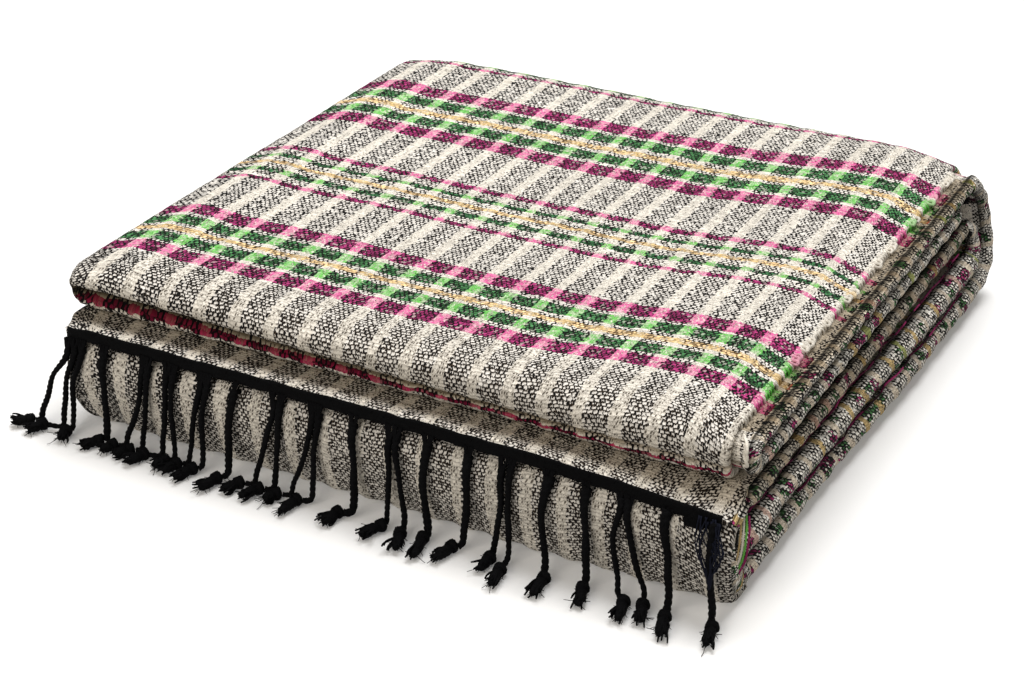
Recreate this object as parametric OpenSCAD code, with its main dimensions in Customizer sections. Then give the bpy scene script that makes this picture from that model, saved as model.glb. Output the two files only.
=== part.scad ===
// Folded woven throw: one long fringed cloth, folded in three across its width and in five panels
// along its length. The panels zigzag from the fringed end, which hangs over the front, up to the
// top panel, and end in a second fringe shut inside.
// X runs along the fringe, Y from the front to the back, Z up. The origin is the centre of the
// footprint, on the surface that the throw lies on.

/* [Folded throw] */
// Width of the folded throw, along the fringe
fold_w = 430; // [380:5:480]
// Depth of the folded throw, from the lower front fold to the back fold
fold_d = 440; // [400:5:500]
// How far the upper front fold sits behind the lower one
upper_setback = 20; // [16:1:28]

/* [Panels] */
// Thickness of each of the two lower panels
lower_t = 24.6; // [23:0.1:26]
// Thickness of the panel that carries the front fringe
fringe_t = 16.6; // [16:0.1:18]
// Thickness of each of the two upper panels
upper_t = 16.4; // [15:0.1:18]
// Slack between two panels
slack = 0.4; // [0.3:0.1:0.6]
// Length of the hidden panel that is left out at its end for the inner fringe
inner_end_gap = 20; // [18:1:24]

/* [End tape] */
// Width of the black tape woven into each end of the cloth
tape_w = 8; // [7:0.5:9]
// Thickness of the tape
tape_t = 1.6; // [1:0.2:2]

/* [Fringe] */
// Diameter of a tassel cord that hangs as one of a pair
pair_cord_d = 3.4; // [3:0.1:3.6]
// Diameter of a tassel cord that hangs alone
lone_cord_d = 4.8; // [4:0.2:5]
// Diameter of the knot near the end of a tassel
knot_d = 7.2; // [6:0.2:7.4]
// Diameter of the frayed brush past the knot
brush_d = 7; // [5:0.5:7.4]

/* [Hidden] */
CLOTH = [0.66, 0.63, 0.58];
FOLD = [0.58, 0.55, 0.51];
TAPE = [0.05, 0.05, 0.05];
CORD = [0.08, 0.08, 0.09];

// Heights of the undersides of the panels, from the surface up
middle_z = lower_t + slack;
fringe_z = middle_z + lower_t + slack;
tucked_z = fringe_z + fringe_t + 2 * slack;
top_z = tucked_z + upper_t + slack;
total_h = top_z + upper_t;

half_w = fold_w / 2;
front_y = -fold_d / 2;
back_r = total_h / 2;                       // outside of the back fold
back_y = fold_d / 2 - back_r;               // where the back folds start
seam = slack / 2;                           // half the slack where a panel meets its fold

// The lower front fold is as deep as its two round corners, which meet the top of the bulge
bulge_r = 22;
bulge_h = fringe_z + 9.6;
bulge_y = front_y + bulge_r;
lip_z = bulge_h + slack;                    // underside of the fringed edge, over the bulge
lip_y = front_y + 4;                        // its front face
lip_x0 = -half_w + tape_t;
lip_x1 = half_w - 7;

// The upper front fold
upper_front_r = (total_h - tucked_z) / 2;
upper_front_y = front_y + upper_setback + upper_front_r;
upper_mid_z = tucked_z + upper_front_r;

// The fringed end shut inside, at the back of the tucked panel
inner_end_y = back_y - inner_end_gap;
inner_z = tucked_z + upper_t / 2;
inner_count = 16;
inner_pitch = 24;
inner_run = [58, 30];                       // how far an inner tassel runs along X and along Y
inner_cord_d = 4;

fold_end = 4;                               // how far the ends of the folds stay inside the width
tape_z = lip_z - 1.5;

// Front tassels, each as the X it hangs from, the X at half height, the X near the surface, the X
// and Y of its knot, the X and Y of its brush's end, and 1 where it hangs alone
tassels = [
    [-201, -212, -223, -229, -227, -238, -234, 0],
    [-196, -202, -207, -219, -227, -223, -238, 0],
    [-191, -197, -200, -202, -227, -200, -237, 0],
    [-175, -174, -175, -178, -227, -186, -237, 1],
    [-148, -150, -161, -168, -227, -171, -236, 0],
    [-144, -145, -150, -156, -227, -162, -236, 0],
    [-131, -132, -136, -146, -227, -150, -240, 0],
    [-127, -128, -127, -131, -227, -133, -236, 0],
    [-108, -112, -117, -123, -227, -126, -238, 0],
    [-104, -107, -108, -112, -227, -117, -241, 0],
    [-86, -88, -90, -94, -229, -97, -244, 1],
    [-59, -63, -72, -80, -227, -86, -239, 0],
    [-55, -56, -59, -67, -227, -73, -240, 0],
    [-34, -37, -47, -55, -227, -60, -235, 0],
    [-30, -32, -34, -42, -227, -44, -243, 0],
    [-8, -6, -7, -15, -227, -17, -241, 1],
    [15, 16, 14, 13, -227, 6, -242, 0],
    [19, 22, 25, 26, -229, 32, -245, 0],
    [38, 37, 40, 39, -227, 44, -247, 1],
    [63, 64, 62, 57, -227, 54, -243, 1],
    [83, 84, 80, 80, -227, 80, -240, 0],
    [88, 88, 89, 90, -234, 92, -250, 0],
    [110, 108, 111, 114, -230, 115, -248, 1],
    [132, 134, 135, 136, -229, 141, -245, 1],
    [152, 149, 153, 160, -230, 164, -247, 0],
    [156, 159, 168, 170, -228, 175, -243, 0],
    [177, 180, 182, 184, -232, 188, -250, 1],
    [203, 203, 206, 209, -229, 212, -246, 1]
];

function tassel_name(i) = str("tassel_", i < 9 ? "0" : "", i + 1);

$fn = 64;

// A panel of folded cloth with round left and right edges, from y0 to y1
module panel(y0, y1, z0, t) {
    r = t / 2;
    translate([0, y1, z0])
        rotate([90, 0, 0])
            linear_extrude(y1 - y0)
                union() {
                    translate([-half_w + r, 0]) square([fold_w - t, t]);
                    translate([-half_w + r, r]) circle(r);
                    translate([half_w - r, r]) circle(r);
                }
}

// An outline in Y and Z, drawn out along X over the width of the folds
module fold_along_x() {
    translate([-half_w + fold_end, 0, 0])
        rotate([90, 0, 90])
            linear_extrude(fold_w - 2 * fold_end) children();
}

// The half of a disc on the side of the given sign of Y
module half_disc(y, z, r, side) {
    intersection() {
        translate([y, z]) circle(r);
        translate([side > 0 ? y : y - r, z - r]) square([r, 2 * r]);
    }
}

// Outline of the outer back fold, from the base panel up round to the top panel
module outer_back_outline() {
    inner_r = (top_z - lower_t) / 2 - seam;
    difference() {
        half_disc(back_y, back_r, back_r, 1);
        translate([back_y, lower_t + seam + inner_r]) circle(inner_r);
    }
}

module top_panel() {
    color(CLOTH) panel(upper_front_y + seam, back_y - seam, top_z, upper_t);
}

// The round front edge where the top panel turns under into the tucked panel
module upper_front_fold() {
    color(FOLD) fold_along_x() half_disc(upper_front_y, upper_mid_z, upper_front_r, -1);
}

// The outer back fold parts level with the top of the fringed panel, where the upper leaf opens
module outer_back_fold_upper() {
    color(FOLD) fold_along_x()
        intersection() {
            outer_back_outline();
            translate([back_y, tucked_z]) square([back_r, total_h]);
        }
}

module tucked_panel() {
    color(CLOTH) panel(upper_front_y + seam, inner_end_y, tucked_z, upper_t);
}

module inner_end_tape() {
    color(TAPE) translate([lip_x0 + fold_end, inner_end_y, inner_z - tape_w / 2])
        cube([lip_x1 - lip_x0 - fold_end, tape_t, tape_w]);
}

// The inner tassels lie side by side, swept along the end of the tucked panel
module inner_tassels() {
    length = norm(inner_run);
    knot_r = knot_d / 2;
    for (i = [0 : inner_count - 1])
        translate([lip_x0 + 12 + i * inner_pitch, inner_end_y + tape_t + inner_cord_d, inner_z])
            rotate([0, 0, atan2(inner_run[1], inner_run[0])])
                color(CORD) {
                    rotate([0, 90, 0]) cylinder(h = length * 0.7, d = inner_cord_d);
                    translate([length * 0.7 + knot_r * 0.8, 0, 0]) sphere(knot_r);
                }
}

// The fringed panel, with its edge drawn out over the bulge below
module fringe_panel() {
    color(CLOTH) {
        panel(bulge_y + seam, back_y - seam, fringe_z, fringe_t);
        translate([lip_x0, lip_y, lip_z])
            cube([lip_x1 - lip_x0, bulge_y + 2 - lip_y, fringe_z + fringe_t - lip_z]);
    }
}

module middle_panel() {
    color(CLOTH) panel(bulge_y + seam, back_y - seam, middle_z, lower_t);
}

module base_panel() {
    color(CLOTH) panel(bulge_y + seam, back_y - seam, 0, lower_t);
}

// The rounded bulge of the lower front fold
module lower_front_fold() {
    color(FOLD) fold_along_x() {
        half_disc(bulge_y, bulge_r, bulge_r, -1);
        half_disc(bulge_y, bulge_h - bulge_r, bulge_r, -1);
        translate([front_y, bulge_r]) square([bulge_r, bulge_h - 2 * bulge_r]);
    }
}

module inner_back_fold() {
    r = (tucked_z - 2 * slack - middle_z) / 2;
    color(FOLD) fold_along_x() half_disc(back_y, middle_z + r, r, 1);
}

module outer_back_fold_lower() {
    color(FOLD) fold_along_x()
        intersection() {
            outer_back_outline();
            square([fold_d, tucked_z - 2 * slack]);
        }
}

// The tape along the front edge, turned back round the left edge of the folded cloth
module front_end_tape() {
    wrap = 18;
    color(TAPE) {
        translate([-half_w, lip_y - tape_t, tape_z])
            cube([lip_x1 + half_w, tape_t, tape_w]);
        translate([-half_w, lip_y - tape_t, tape_z])
            cube([tape_t, wrap, tape_w]);
    }
}

// The end of the same tape where the ply below comes out at the right
module under_end_tape() {
    length = 14;
    inset = 22;
    drop = 8;
    color(TAPE) translate([lip_x1 - inset, lip_y - tape_t, tape_z - drop])
        cube([length, tape_t, drop - slack]);
}

function unit(v) = v / norm(v);

// The middle line of a tassel as points with a radius: the cord, its knot and its brush
function tassel_line(t) =
    let (
        r = (t[7] == 1 ? lone_cord_d : pair_cord_d) / 2,
        hang_y = front_y - r - slack,
        low = [t[2], hang_y - 1, r + 1],
        knot = [t[3], t[4], knot_d / 2],
        tip = [t[5], t[6], brush_d / 2],
        into = unit(knot - low),
        out = unit(tip - knot)
    )
    [
        [[t[0], lip_y - tape_t + 0.4, tape_z - slack - 0.6], r],
        [[t[0], hang_y + 1, 50], r],
        [[t[1], hang_y, 36], r],
        [[(t[1] + t[2]) / 2, hang_y, 20], r],
        [[t[2], hang_y, 9], r],
        [low, r],
        [knot - into * 3.4, r],
        [knot, knot_d / 2],
        [knot + out * 3.6, brush_d / 4],
        [knot * 0.4 + tip * 0.6, brush_d / 2.4],
        [tip, brush_d / 2.2]
    ];

// A tube of eight sides round a list of points with a radius
module tube(line) {
    sides = 8;
    last = len(line) - 1;
    heading = [for (i = [0 : last])
        unit(line[min(i + 1, last)][0] - line[max(i - 1, 0)][0])];
    points = [for (i = [0 : last])
        let (u = unit(cross(heading[i], [1, 0, 0.2])), v = cross(heading[i], u))
        for (s = [0 : sides - 1])
            line[i][0] + line[i][1] * (u * cos(360 * s / sides) + v * sin(360 * s / sides))];
    skin = [for (i = [0 : last - 1], s = [0 : sides - 1])
        let (a = i * sides + s, b = i * sides + (s + 1) % sides)
        [a, b, b + sides, a + sides]];
    start = [[for (s = [0 : sides - 1]) sides - 1 - s]];
    end = [[for (s = [0 : sides - 1]) last * sides + s]];
    polyhedron(points, concat(skin, start, end), convexity = 4);
}

module tassel(i) {
    color(CORD) tube(tassel_line(tassels[i]));
}

top_panel();
upper_front_fold();
outer_back_fold_upper();
tucked_panel();
inner_end_tape();
inner_tassels();
fringe_panel();
middle_panel();
base_panel();
lower_front_fold();
inner_back_fold();
outer_back_fold_lower();
front_end_tape();
under_end_tape();
for (i = [0 : len(tassels) - 1])
    tassel(i);
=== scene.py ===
"""Folded woven throw with a knotted fringe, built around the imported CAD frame."""

import math
from functools import partial

import bpy
import numpy as np
from mathutils import Matrix, Vector


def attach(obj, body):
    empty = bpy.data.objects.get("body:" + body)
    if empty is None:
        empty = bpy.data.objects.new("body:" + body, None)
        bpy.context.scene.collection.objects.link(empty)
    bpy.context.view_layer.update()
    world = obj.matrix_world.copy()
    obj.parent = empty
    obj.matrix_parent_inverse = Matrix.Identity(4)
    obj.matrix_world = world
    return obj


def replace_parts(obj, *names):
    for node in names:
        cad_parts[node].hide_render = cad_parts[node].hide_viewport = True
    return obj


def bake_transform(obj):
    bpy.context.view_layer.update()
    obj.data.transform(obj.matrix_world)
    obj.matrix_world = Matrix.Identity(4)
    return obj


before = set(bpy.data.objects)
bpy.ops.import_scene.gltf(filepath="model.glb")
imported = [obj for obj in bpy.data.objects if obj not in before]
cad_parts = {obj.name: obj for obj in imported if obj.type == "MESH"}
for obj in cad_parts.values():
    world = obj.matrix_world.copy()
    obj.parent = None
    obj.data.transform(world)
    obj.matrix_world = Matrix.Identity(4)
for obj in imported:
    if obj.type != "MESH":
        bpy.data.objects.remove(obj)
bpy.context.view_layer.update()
MM = 0.001

# ---------- camera
BACK = (27.77, 28.24, 0.11)  # azimuth, elevation and roll, in degrees
CAMERA_AT = (0.5251, -1.0473, 0.6353)
LENS, SENSOR = 74.16, 36  # in mm


def make_camera():
    az, el, roll = (math.radians(a) for a in BACK)
    back = Vector((math.sin(az) * math.cos(el), -math.cos(az) * math.cos(el), math.sin(el)))
    right = Vector((0, 0, 1)).cross(back).normalized()
    up = back.cross(right)
    right, up = (
        right * math.cos(roll) + up * math.sin(roll),
        up * math.cos(roll) - right * math.sin(roll),
    )
    data = bpy.data.cameras.new("camera")
    data.sensor_width = SENSOR
    data.lens = LENS
    data.clip_start, data.clip_end = 0.05, 60
    cam = bpy.data.objects.new("camera", data)
    bpy.context.scene.collection.objects.link(cam)
    m = Matrix((right, up, back)).transposed().to_4x4()
    m.translation = CAMERA_AT
    cam.matrix_world = m
    bpy.context.scene.camera = cam


make_camera()

# ---------- sizes from the CAD, in mm
HALF_W = 215.0
BACK_Y = 169.7
BACK_R = 50.3
FRONT_Y = -220.0
TOP_Z, TOTAL_H = 84.2, 100.6
TUCKED_Z, UPPER_T = 67.4, 16.4
FRINGE_Z, FRINGE_T = 50.0, 16.6
MIDDLE_Z, LOWER_T = 25.0, 24.6
UPPER_FRONT_Y, UPPER_MID_Z = -183.4, 84.0
INNER_END_Y, INNER_Z = 149.7, 75.6
LIP_Y = -216.0
SEAM = 0.2
FRONT_R_IN, FRONT_R = 0.2, 16.6  # radii of the upper front fold
TAPE_FACE_Y = -217.2
FREE_LEFT = -211  # X of the third ply's free edge

# ---------- helpers


def ease(t):
    return t * t * (3 - 2 * t)


def smooth(a, b, x):
    """0 up to a, 1 from b, and an even rise between them."""
    return ease(np.clip((np.asarray(x, float) - a) / (b - a), 0, 1))


def unit(v):
    return v / np.linalg.norm(v)


def noise(a, b, size, seed):
    """Smooth noise from -1 to 1 over two coordinates in mm, with features about size across."""
    a, b = np.broadcast_arrays(np.asarray(a, float) / size, np.asarray(b, float) / size)
    ia, ib = np.floor(a), np.floor(b)
    fa, fb = ease(a - ia), ease(b - ib)

    def corner(i, j):
        h = np.sin(i * 127.1 + j * 311.7 + seed * 74.7) * 43758.5453
        return 2 * (h - np.floor(h)) - 1

    low = corner(ia, ib) * (1 - fa) + corner(ia + 1, ib) * fa
    high = corner(ia, ib + 1) * (1 - fa) + corner(ia + 1, ib + 1) * fa
    return low * (1 - fb) + high * fb


def spline(points, per):
    """A Catmull-Rom curve through points, with about per steps between two of them."""
    p = np.asarray(points, float)
    p = np.vstack([2 * p[0] - p[1], p, 2 * p[-1] - p[-2]])
    out = []
    for i in range(1, len(p) - 2):
        for k in range(per):
            t = k / per
            out.append(
                0.5 * (2 * p[i] + (p[i + 1] - p[i - 1]) * t
                       + (2 * p[i - 1] - 5 * p[i] + 4 * p[i + 1] - p[i + 2]) * t**2
                       + (3 * p[i] - p[i - 1] - 3 * p[i + 1] + p[i + 2]) * t**3)
            )
    out.append(p[-2])
    return np.array(out)


def lengths(points):
    """Distance along a line of points."""
    return np.concatenate([[0], np.cumsum(np.linalg.norm(np.diff(points, axis=0), axis=1))])


def resample(points, step=None, count=None):
    """Points spaced evenly along a line, about step apart or count in all."""
    s = lengths(points)
    at = np.linspace(0, s[-1], count or max(2, int(round(s[-1] / step)) + 1))
    return np.stack([np.interp(at, s, points[:, k]) for k in range(points.shape[1])], 1)


def make_mesh(name, points, faces, material, **attributes):
    """A mesh object from points in mm. Each attribute is one vector, or one number, to a point."""
    me = bpy.data.meshes.new(name)
    me.from_pydata((np.asarray(points) * MM).tolist(), [], [tuple(f) for f in faces])
    for key, value in attributes.items():
        value = np.asarray(value, np.float32)
        kind, field = ("FLOAT_VECTOR", "vector") if value.ndim == 2 else ("FLOAT", "value")
        me.attributes.new(key, kind, "POINT").data.foreach_set(field, value.ravel())
    me.validate()
    me.shade_smooth()
    me.materials.append(material)
    ob = bpy.data.objects.new(name, me)
    bpy.context.scene.collection.objects.link(ob)
    return ob


def quads(rows, sides):
    """Faces between rows of points that each close into a ring."""
    i, k = np.meshgrid(np.arange(rows - 1), np.arange(sides), indexing="ij")
    a, b = (i * sides + k).ravel(), (i * sides + (k + 1) % sides).ravel()
    return np.stack([a, b, b + sides, a + sides], 1)


def tube(line, radius, sides=8, lobes=0, pitch=5.0, depth=0.18, phase=0.0):
    """Points and faces of a closed tube. Lobes turn round it as the plies of a twisted yarn do."""
    line = np.asarray(line, float)
    n = len(line)
    radius = np.broadcast_to(np.asarray(radius, float), n)
    head = np.gradient(line, axis=0)
    head /= np.linalg.norm(head, axis=1)[:, None] + 1e-12
    u = np.cross(head, [0.9, 0.2, 0.35])  # a direction that no yarn follows
    u /= np.linalg.norm(u, axis=1)[:, None] + 1e-12
    v = np.cross(head, u)
    phi = np.arange(sides) * 2 * math.pi / sides
    turn = lengths(line)[:, None] * 2 * math.pi / pitch + phase
    r = radius[:, None] * np.ones(sides)
    if lobes:
        r = r * (1 - depth + depth * np.abs(np.cos((phi[None, :] * lobes / 2 - turn))))
    pts = (line[:, None, :] + r[..., None] * (np.cos(phi)[None, :, None] * u[:, None, :]
                                              + np.sin(phi)[None, :, None] * v[:, None, :]))
    faces = quads(n, sides).tolist()
    faces.append(list(range(sides))[::-1])
    faces.append([(n - 1) * sides + k for k in range(sides)])
    return pts.reshape(-1, 3), faces


def joined(parts):
    """Points and faces of several tubes as one mesh."""
    points, faces, start = [], [], 0
    for p, f in parts:
        points.append(p)
        faces += [[k + start for k in q] for q in f]
        start += len(p)
    return np.vstack(points), faces


def bundle(name, parts, material, body):
    """Several tubes as one piece."""
    ob = make_mesh(name, *joined(parts), material)
    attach(ob, body)
    return ob


# ---------- materials


class Graph:
    """Short calls for building a material's nodes."""

    def __init__(self, name):
        self.mat = bpy.data.materials.new(name)
        self.mat.use_nodes = True
        self.tree = self.mat.node_tree
        self.tree.nodes.clear()

    def node(self, kind, **values):
        n = self.tree.nodes.new(kind)
        for k, v in values.items():
            setattr(n, k, v)
        return n

    def put(self, socket, value):
        if isinstance(value, bpy.types.NodeSocket):
            self.tree.links.new(value, socket)
        elif value is not None:
            socket.default_value = value

    def fill(self, n, *values):
        """Set a node's inputs in order, and give its first output."""
        for socket, value in zip(n.inputs, values):
            self.put(socket, value)
        return n.outputs[0]

    def m(self, op, a, b=None):
        return self.fill(self.node("ShaderNodeMath", operation=op), a, b)

    def mix(self, f, a, b, blend="MIX"):
        n = self.node("ShaderNodeMix", data_type="RGBA", blend_type=blend)
        self.put(n.inputs["Factor"], f)
        for key, v in ((6, a), (7, b)):
            self.put(n.inputs[key], v if isinstance(v, bpy.types.NodeSocket) else (*v, 1))
        return n.outputs[2]

    def mul(self, a, b):
        return self.mix(1, a, b, "MULTIPLY")

    def grey(self, f):
        return self.fill(self.node("ShaderNodeCombineColor"), f, f, f)

    def lin(self, x, a, b, lo=0.0, hi=1.0):
        """x from a..b taken to lo..hi, held at the ends."""
        return self.fill(self.node("ShaderNodeMapRange"), x, a, b, lo, hi)

    def vec(self, x, y, z=0.0):
        return self.fill(self.node("ShaderNodeCombineXYZ"), x, y, z)

    def attribute(self, name):
        """The three numbers of a point's vector."""
        n = self.node("ShaderNodeAttribute", attribute_name=name)
        s = self.node("ShaderNodeSeparateXYZ")
        self.put(s.inputs[0], n.outputs["Vector"])
        return tuple(s.outputs)

    def wired(self, kind, inputs, **settings):
        """The first output of a new node with its inputs set by name."""
        n = self.node(kind, **settings)
        for key, value in inputs.items():
            self.put(n.inputs[key], value)
        return n.outputs[0]

    def noise(self, vector, scale, detail=2.0, rough=0.5):
        return self.wired("ShaderNodeTexNoise", {"Vector": vector, "Scale": scale, "Detail": detail,
                                                 "Roughness": rough})

    def random(self, vector):
        return self.wired("ShaderNodeTexWhiteNoise", {"Vector": vector}, noise_dimensions="3D")

    def ramp(self, f, stops):
        n = self.node("ShaderNodeValToRGB")
        n.color_ramp.interpolation = "CONSTANT"
        e = n.color_ramp.elements
        while len(e) < len(stops):
            e.new(1.0)
        for el, (pos, col) in zip(e, stops):
            el.position = pos
            el.color = (*col, 1)
        self.put(n.inputs[0], f)
        return n.outputs[0]

    def finish(self, colour, rough, height, distance, gloss=0.1, glow=0.0):
        bump = self.wired("ShaderNodeBump", {"Distance": distance, "Height": height})
        looks = {"Base Color": colour, "Roughness": rough, "Specular IOR Level": gloss, "Normal": bump}
        if glow:
            looks |= {"Emission Color": colour, "Emission Strength": glow}
        out = self.node("ShaderNodeOutputMaterial")
        self.put(out.inputs[0], self.wired("ShaderNodeBsdfPrincipled", looks))
        return self.mat


WHITE = (1.0, 1.0, 1.0)
BLACK = (0.009, 0.0085, 0.009)
CREAM = (0.88, 0.825, 0.73)
WARP_PITCH, WEFT_PITCH = 1.45, 2.15
STRIPE = 20.8  # from one cream warp stripe to the next
HALF_REPEAT = 117.5  # from the middle of a wide group of stripes to that of a thin one
PALE_PHASE = 64.0  # halfway between two groups
PALE = (0.86, 0.82, 0.75)
# Two colours each: over black warp, and over cream warp
GOLD = (0.74, 0.53, 0.28), (0.86, 0.62, 0.29)
MAGENTA = (0.31, 0.034, 0.135), (0.86, 0.15, 0.40)
# Where each weft colour starts, from the middle of a wide group of stripes
WEFT = [
    (0.0, *GOLD),
    (3.1, PALE, CREAM),
    (7.5, (0.06, 0.185, 0.07), (0.17, 0.62, 0.11)),
    (20.0, PALE, CREAM),
    (23.5, *MAGENTA),
    (38.0, (0.84, 0.80, 0.74), CREAM),
    (89.5, *MAGENTA),
    (94.5, PALE, CREAM),
    (102.5, (0.045, 0.15, 0.06), (0.22, 0.62, 0.14)),
    (108.0, PALE, CREAM),
    (115.2, *GOLD),
]


def cloth_material():
    """The woven plaid, worked out from two attributes of the cloth's points.

    "cloth" is the place across the cloth, along it and in the repeat of weft stripes, in mm.
    "flank" is the place along and up the right side, with 100 mm to a band, and a third number:
    0.5 to 1.5 round the right folds, and elsewhere 0.2 where the magenta stripe in the crease gets
    painted reddened shade and -0.2 at the front. "dim" paints shade on the colour."""
    g = Graph("plaid_weave")
    m = g.m
    add, sub, times, div = (partial(m, op) for op in ("ADD", "SUBTRACT", "MULTIPLY", "DIVIDE"))
    u, v, p = g.attribute("cloth")
    a, h, across = g.attribute("flank")
    side = m("GREATER_THAN", across, 0.25)
    band = m("FLOOR", div(h, 100.0))  # one number to a panel

    def rest_of(x):
        return sub(1.0, x)

    def pick(x, y):
        """y on the flank, x elsewhere."""
        return add(times(side, y), times(rest_of(side), x))

    def wave(vector, scale, detail):
        return sub(g.noise(vector, scale, detail), 0.5)

    # threads across and along, each wandering a little
    uu, vv = pick(u, a), pick(v, h)
    place = g.vec(uu, vv, side)
    wander = wave(place, 0.11, 2.0)
    wander2 = wave(g.vec(vv, uu, 7.0), 0.13, 2.0)
    fine = wave(place, 0.45, 2.0)
    uu = add(uu, add(times(wander, 2.4), times(fine, 1.7)))
    vv = add(vv, add(times(wander2, 2.8), times(fine, 2.0)))
    front = g.lin(across, -0.04, -0.14)  # at the front the threads lie in upright columns
    cu, cv = div(uu, WARP_PITCH), div(vv, WEFT_PITCH)
    iu, iv = m("FLOOR", cu), m("FLOOR", cv)
    fu, fv = sub(sub(cu, iu), 0.5), sub(sub(cv, iv), 0.5)

    def lot(salt):
        """A random number for each crossing of two threads."""
        return g.random(g.vec(iu, iv, salt))

    def vary(salt, lo, hi):
        return g.lin(lot(salt), 0.0, 1.0, lo, hi)

    # which warp threads are cream, taken at the thread's middle
    mid = sub(uu, times(fu, WARP_PITCH))
    off = m("PINGPONG", mid, STRIPE / 2)
    edge = times(wave(g.vec(iu, times(vv, 0.3), 3.0), 1.0, 1.0), 4.4)
    edge = times(edge, rest_of(times(front, 0.4)))
    cream = m("LESS_THAN", add(off, edge), add(pick(3.15, 2.4), times(front, 0.25)))

    # weft colours, taken at the middle of the thread
    at = sub(add(p, times(wander2, 2.6)), times(fv, WEFT_PITCH))
    at = div(m("PINGPONG", at, HALF_REPEAT), HALF_REPEAT)
    on_black = g.ramp(at, [(q / HALF_REPEAT, c) for q, c, _ in WEFT])
    on_cream = g.ramp(at, [(q / HALF_REPEAT, c) for q, _, c in WEFT])
    dyed = g.ramp(at, [(q / HALF_REPEAT, (float(min(c) < 0.7 * max(c)),) * 3) for q, c, _ in WEFT])
    uneven = g.mul(on_black, g.grey(vary(21.0, 0.45, 1.9)))
    # pale specks on the dyed weft: painted highlights
    uneven = g.mix(times(m("GREATER_THAN", lot(22.0), 0.82), 0.55), uneven, (0.66, 0.62, 0.56))
    on_black = g.mix(dyed, on_black, uneven)
    tinted = g.mix(g.lin(lot(23.0), 0.0, 0.7, 0.45, 1.0), CREAM, on_cream)
    weft = g.mix(cream, on_black, tinted)
    # painted shade: the dyed weft in the crease of the front fold is darkened and reddened
    crease_red_shade = times(times(g.lin(across, 0.02, 0.08), rest_of(side)), dyed)
    # on the right flank the colours come in blocks between pale bars
    row = m("FLOOR", div(h, 7.7))
    block = g.random(g.vec(m("FLOOR", div(uu, STRIPE / 2)), row, 1.0))
    flank_black = g.ramp(block, [(0.0, (0.88, 0.85, 0.79)), (0.52, (0.07, 0.19, 0.07)),
                                 (0.68, (0.86, 0.83, 0.77)), (0.84, (0.33, 0.035, 0.14)),
                                 (0.95, (0.8, 0.77, 0.7))])
    block = g.random(g.vec(m("FLOOR", div(add(a, STRIPE / 2), STRIPE)), band, 2.0))
    flank_cream = g.ramp(block, [(0.0, (0.84, 0.74, 0.60)), (0.40, (0.62, 0.46, 0.22)),
                                 (0.62, (0.80, 0.70, 0.58)), (0.84, (0.42, 0.46, 0.17)),
                                 (0.93, (0.70, 0.50, 0.42))])
    uneven = g.mul(flank_black, g.grey(vary(27.0, 0.6, 1.5)))
    flank_black = g.mix(m("GREATER_THAN", lot(26.0), 0.6), uneven, (0.90, 0.87, 0.80))
    weft = g.mix(side, weft, g.mix(cream, flank_black, flank_cream))
    # a coloured weft hides some of the cream warp, and gold hides the black warp as well
    faint = g.mix(vary(24.0, 0.2, 1.0), CREAM, on_cream)
    warp = g.mix(cream, BLACK, g.mix(side, faint, flank_cream))
    gold = m("MAXIMUM", m("LESS_THAN", at, WEFT[1][0] / HALF_REPEAT),
             m("GREATER_THAN", at, WEFT[-1][0] / HALF_REPEAT))
    gold = times(gold, rest_of(side))

    # heights of both threads; the higher one shows
    even = times(m("SINE", times(cu, math.pi)), m("SINE", times(cv, math.pi)))
    blot = wave(g.vec(times(cu, 0.86), times(cv, 0.45), 4.0), 1.0, 1.5)
    over = add(times(even, sub(0.36, times(front, 0.12))), times(blot, sub(1.7, times(front, 0.7))))
    over = add(over, times(front, sub(0.12, times(cream, 0.1))))
    over = add(over, times(sub(lot(9.0), 0.5), 0.3))
    lean = add(fu, times(fv, 0.6))
    # the warp threads widen towards the left of the top so more black shows there: painted shade that
    # darkens it
    warp_half = add(g.lin(u, -30.0, -170.0, 0.51, 0.66), times(front, -0.16))
    wide = div(lean, add(warp_half, times(side, 0.15)))
    warp_h = sub(0.64, times(0.64, times(wide, wide)))
    warp_h = sub(add(warp_h, over), times(gold, 1.5))
    slub = wave(g.vec(times(uu, 0.22), times(iv, 5.3), 1.0), 1.0, 1.0)
    high = div(fv, add(0.53, times(slub, 0.5)))
    weft_h = sub(0.72, times(0.72, times(high, high)))
    weft_h = add(sub(weft_h, over), times(slub, 0.5))
    warp_on = m("GREATER_THAN", warp_h, weft_h)
    height = m("MAXIMUM", warp_h, weft_h)

    # each float of a thread is a little lighter or darker, and the gaps between threads get a painted warm
    # shade
    thread = g.random(g.vec(times(iu, warp_on), times(iv, rest_of(warp_on)), 5.0))
    tone = add(vary(25.0, 0.84, 1.08), g.lin(thread, 0.0, 1.0, -0.09, 0.07))
    groove_shade_mix = m("MAXIMUM", g.lin(height, 0.1, pick(0.58, 0.7)), times(cream, pick(0.64, 0.2)))
    fibre = g.noise(g.vec(times(uu, 2.6), times(vv, 2.6), 0.0), 1.0, 3.0, 0.65)
    tone = times(tone, g.lin(fibre, 0.25, 0.75, 0.86, 1.12))
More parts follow.
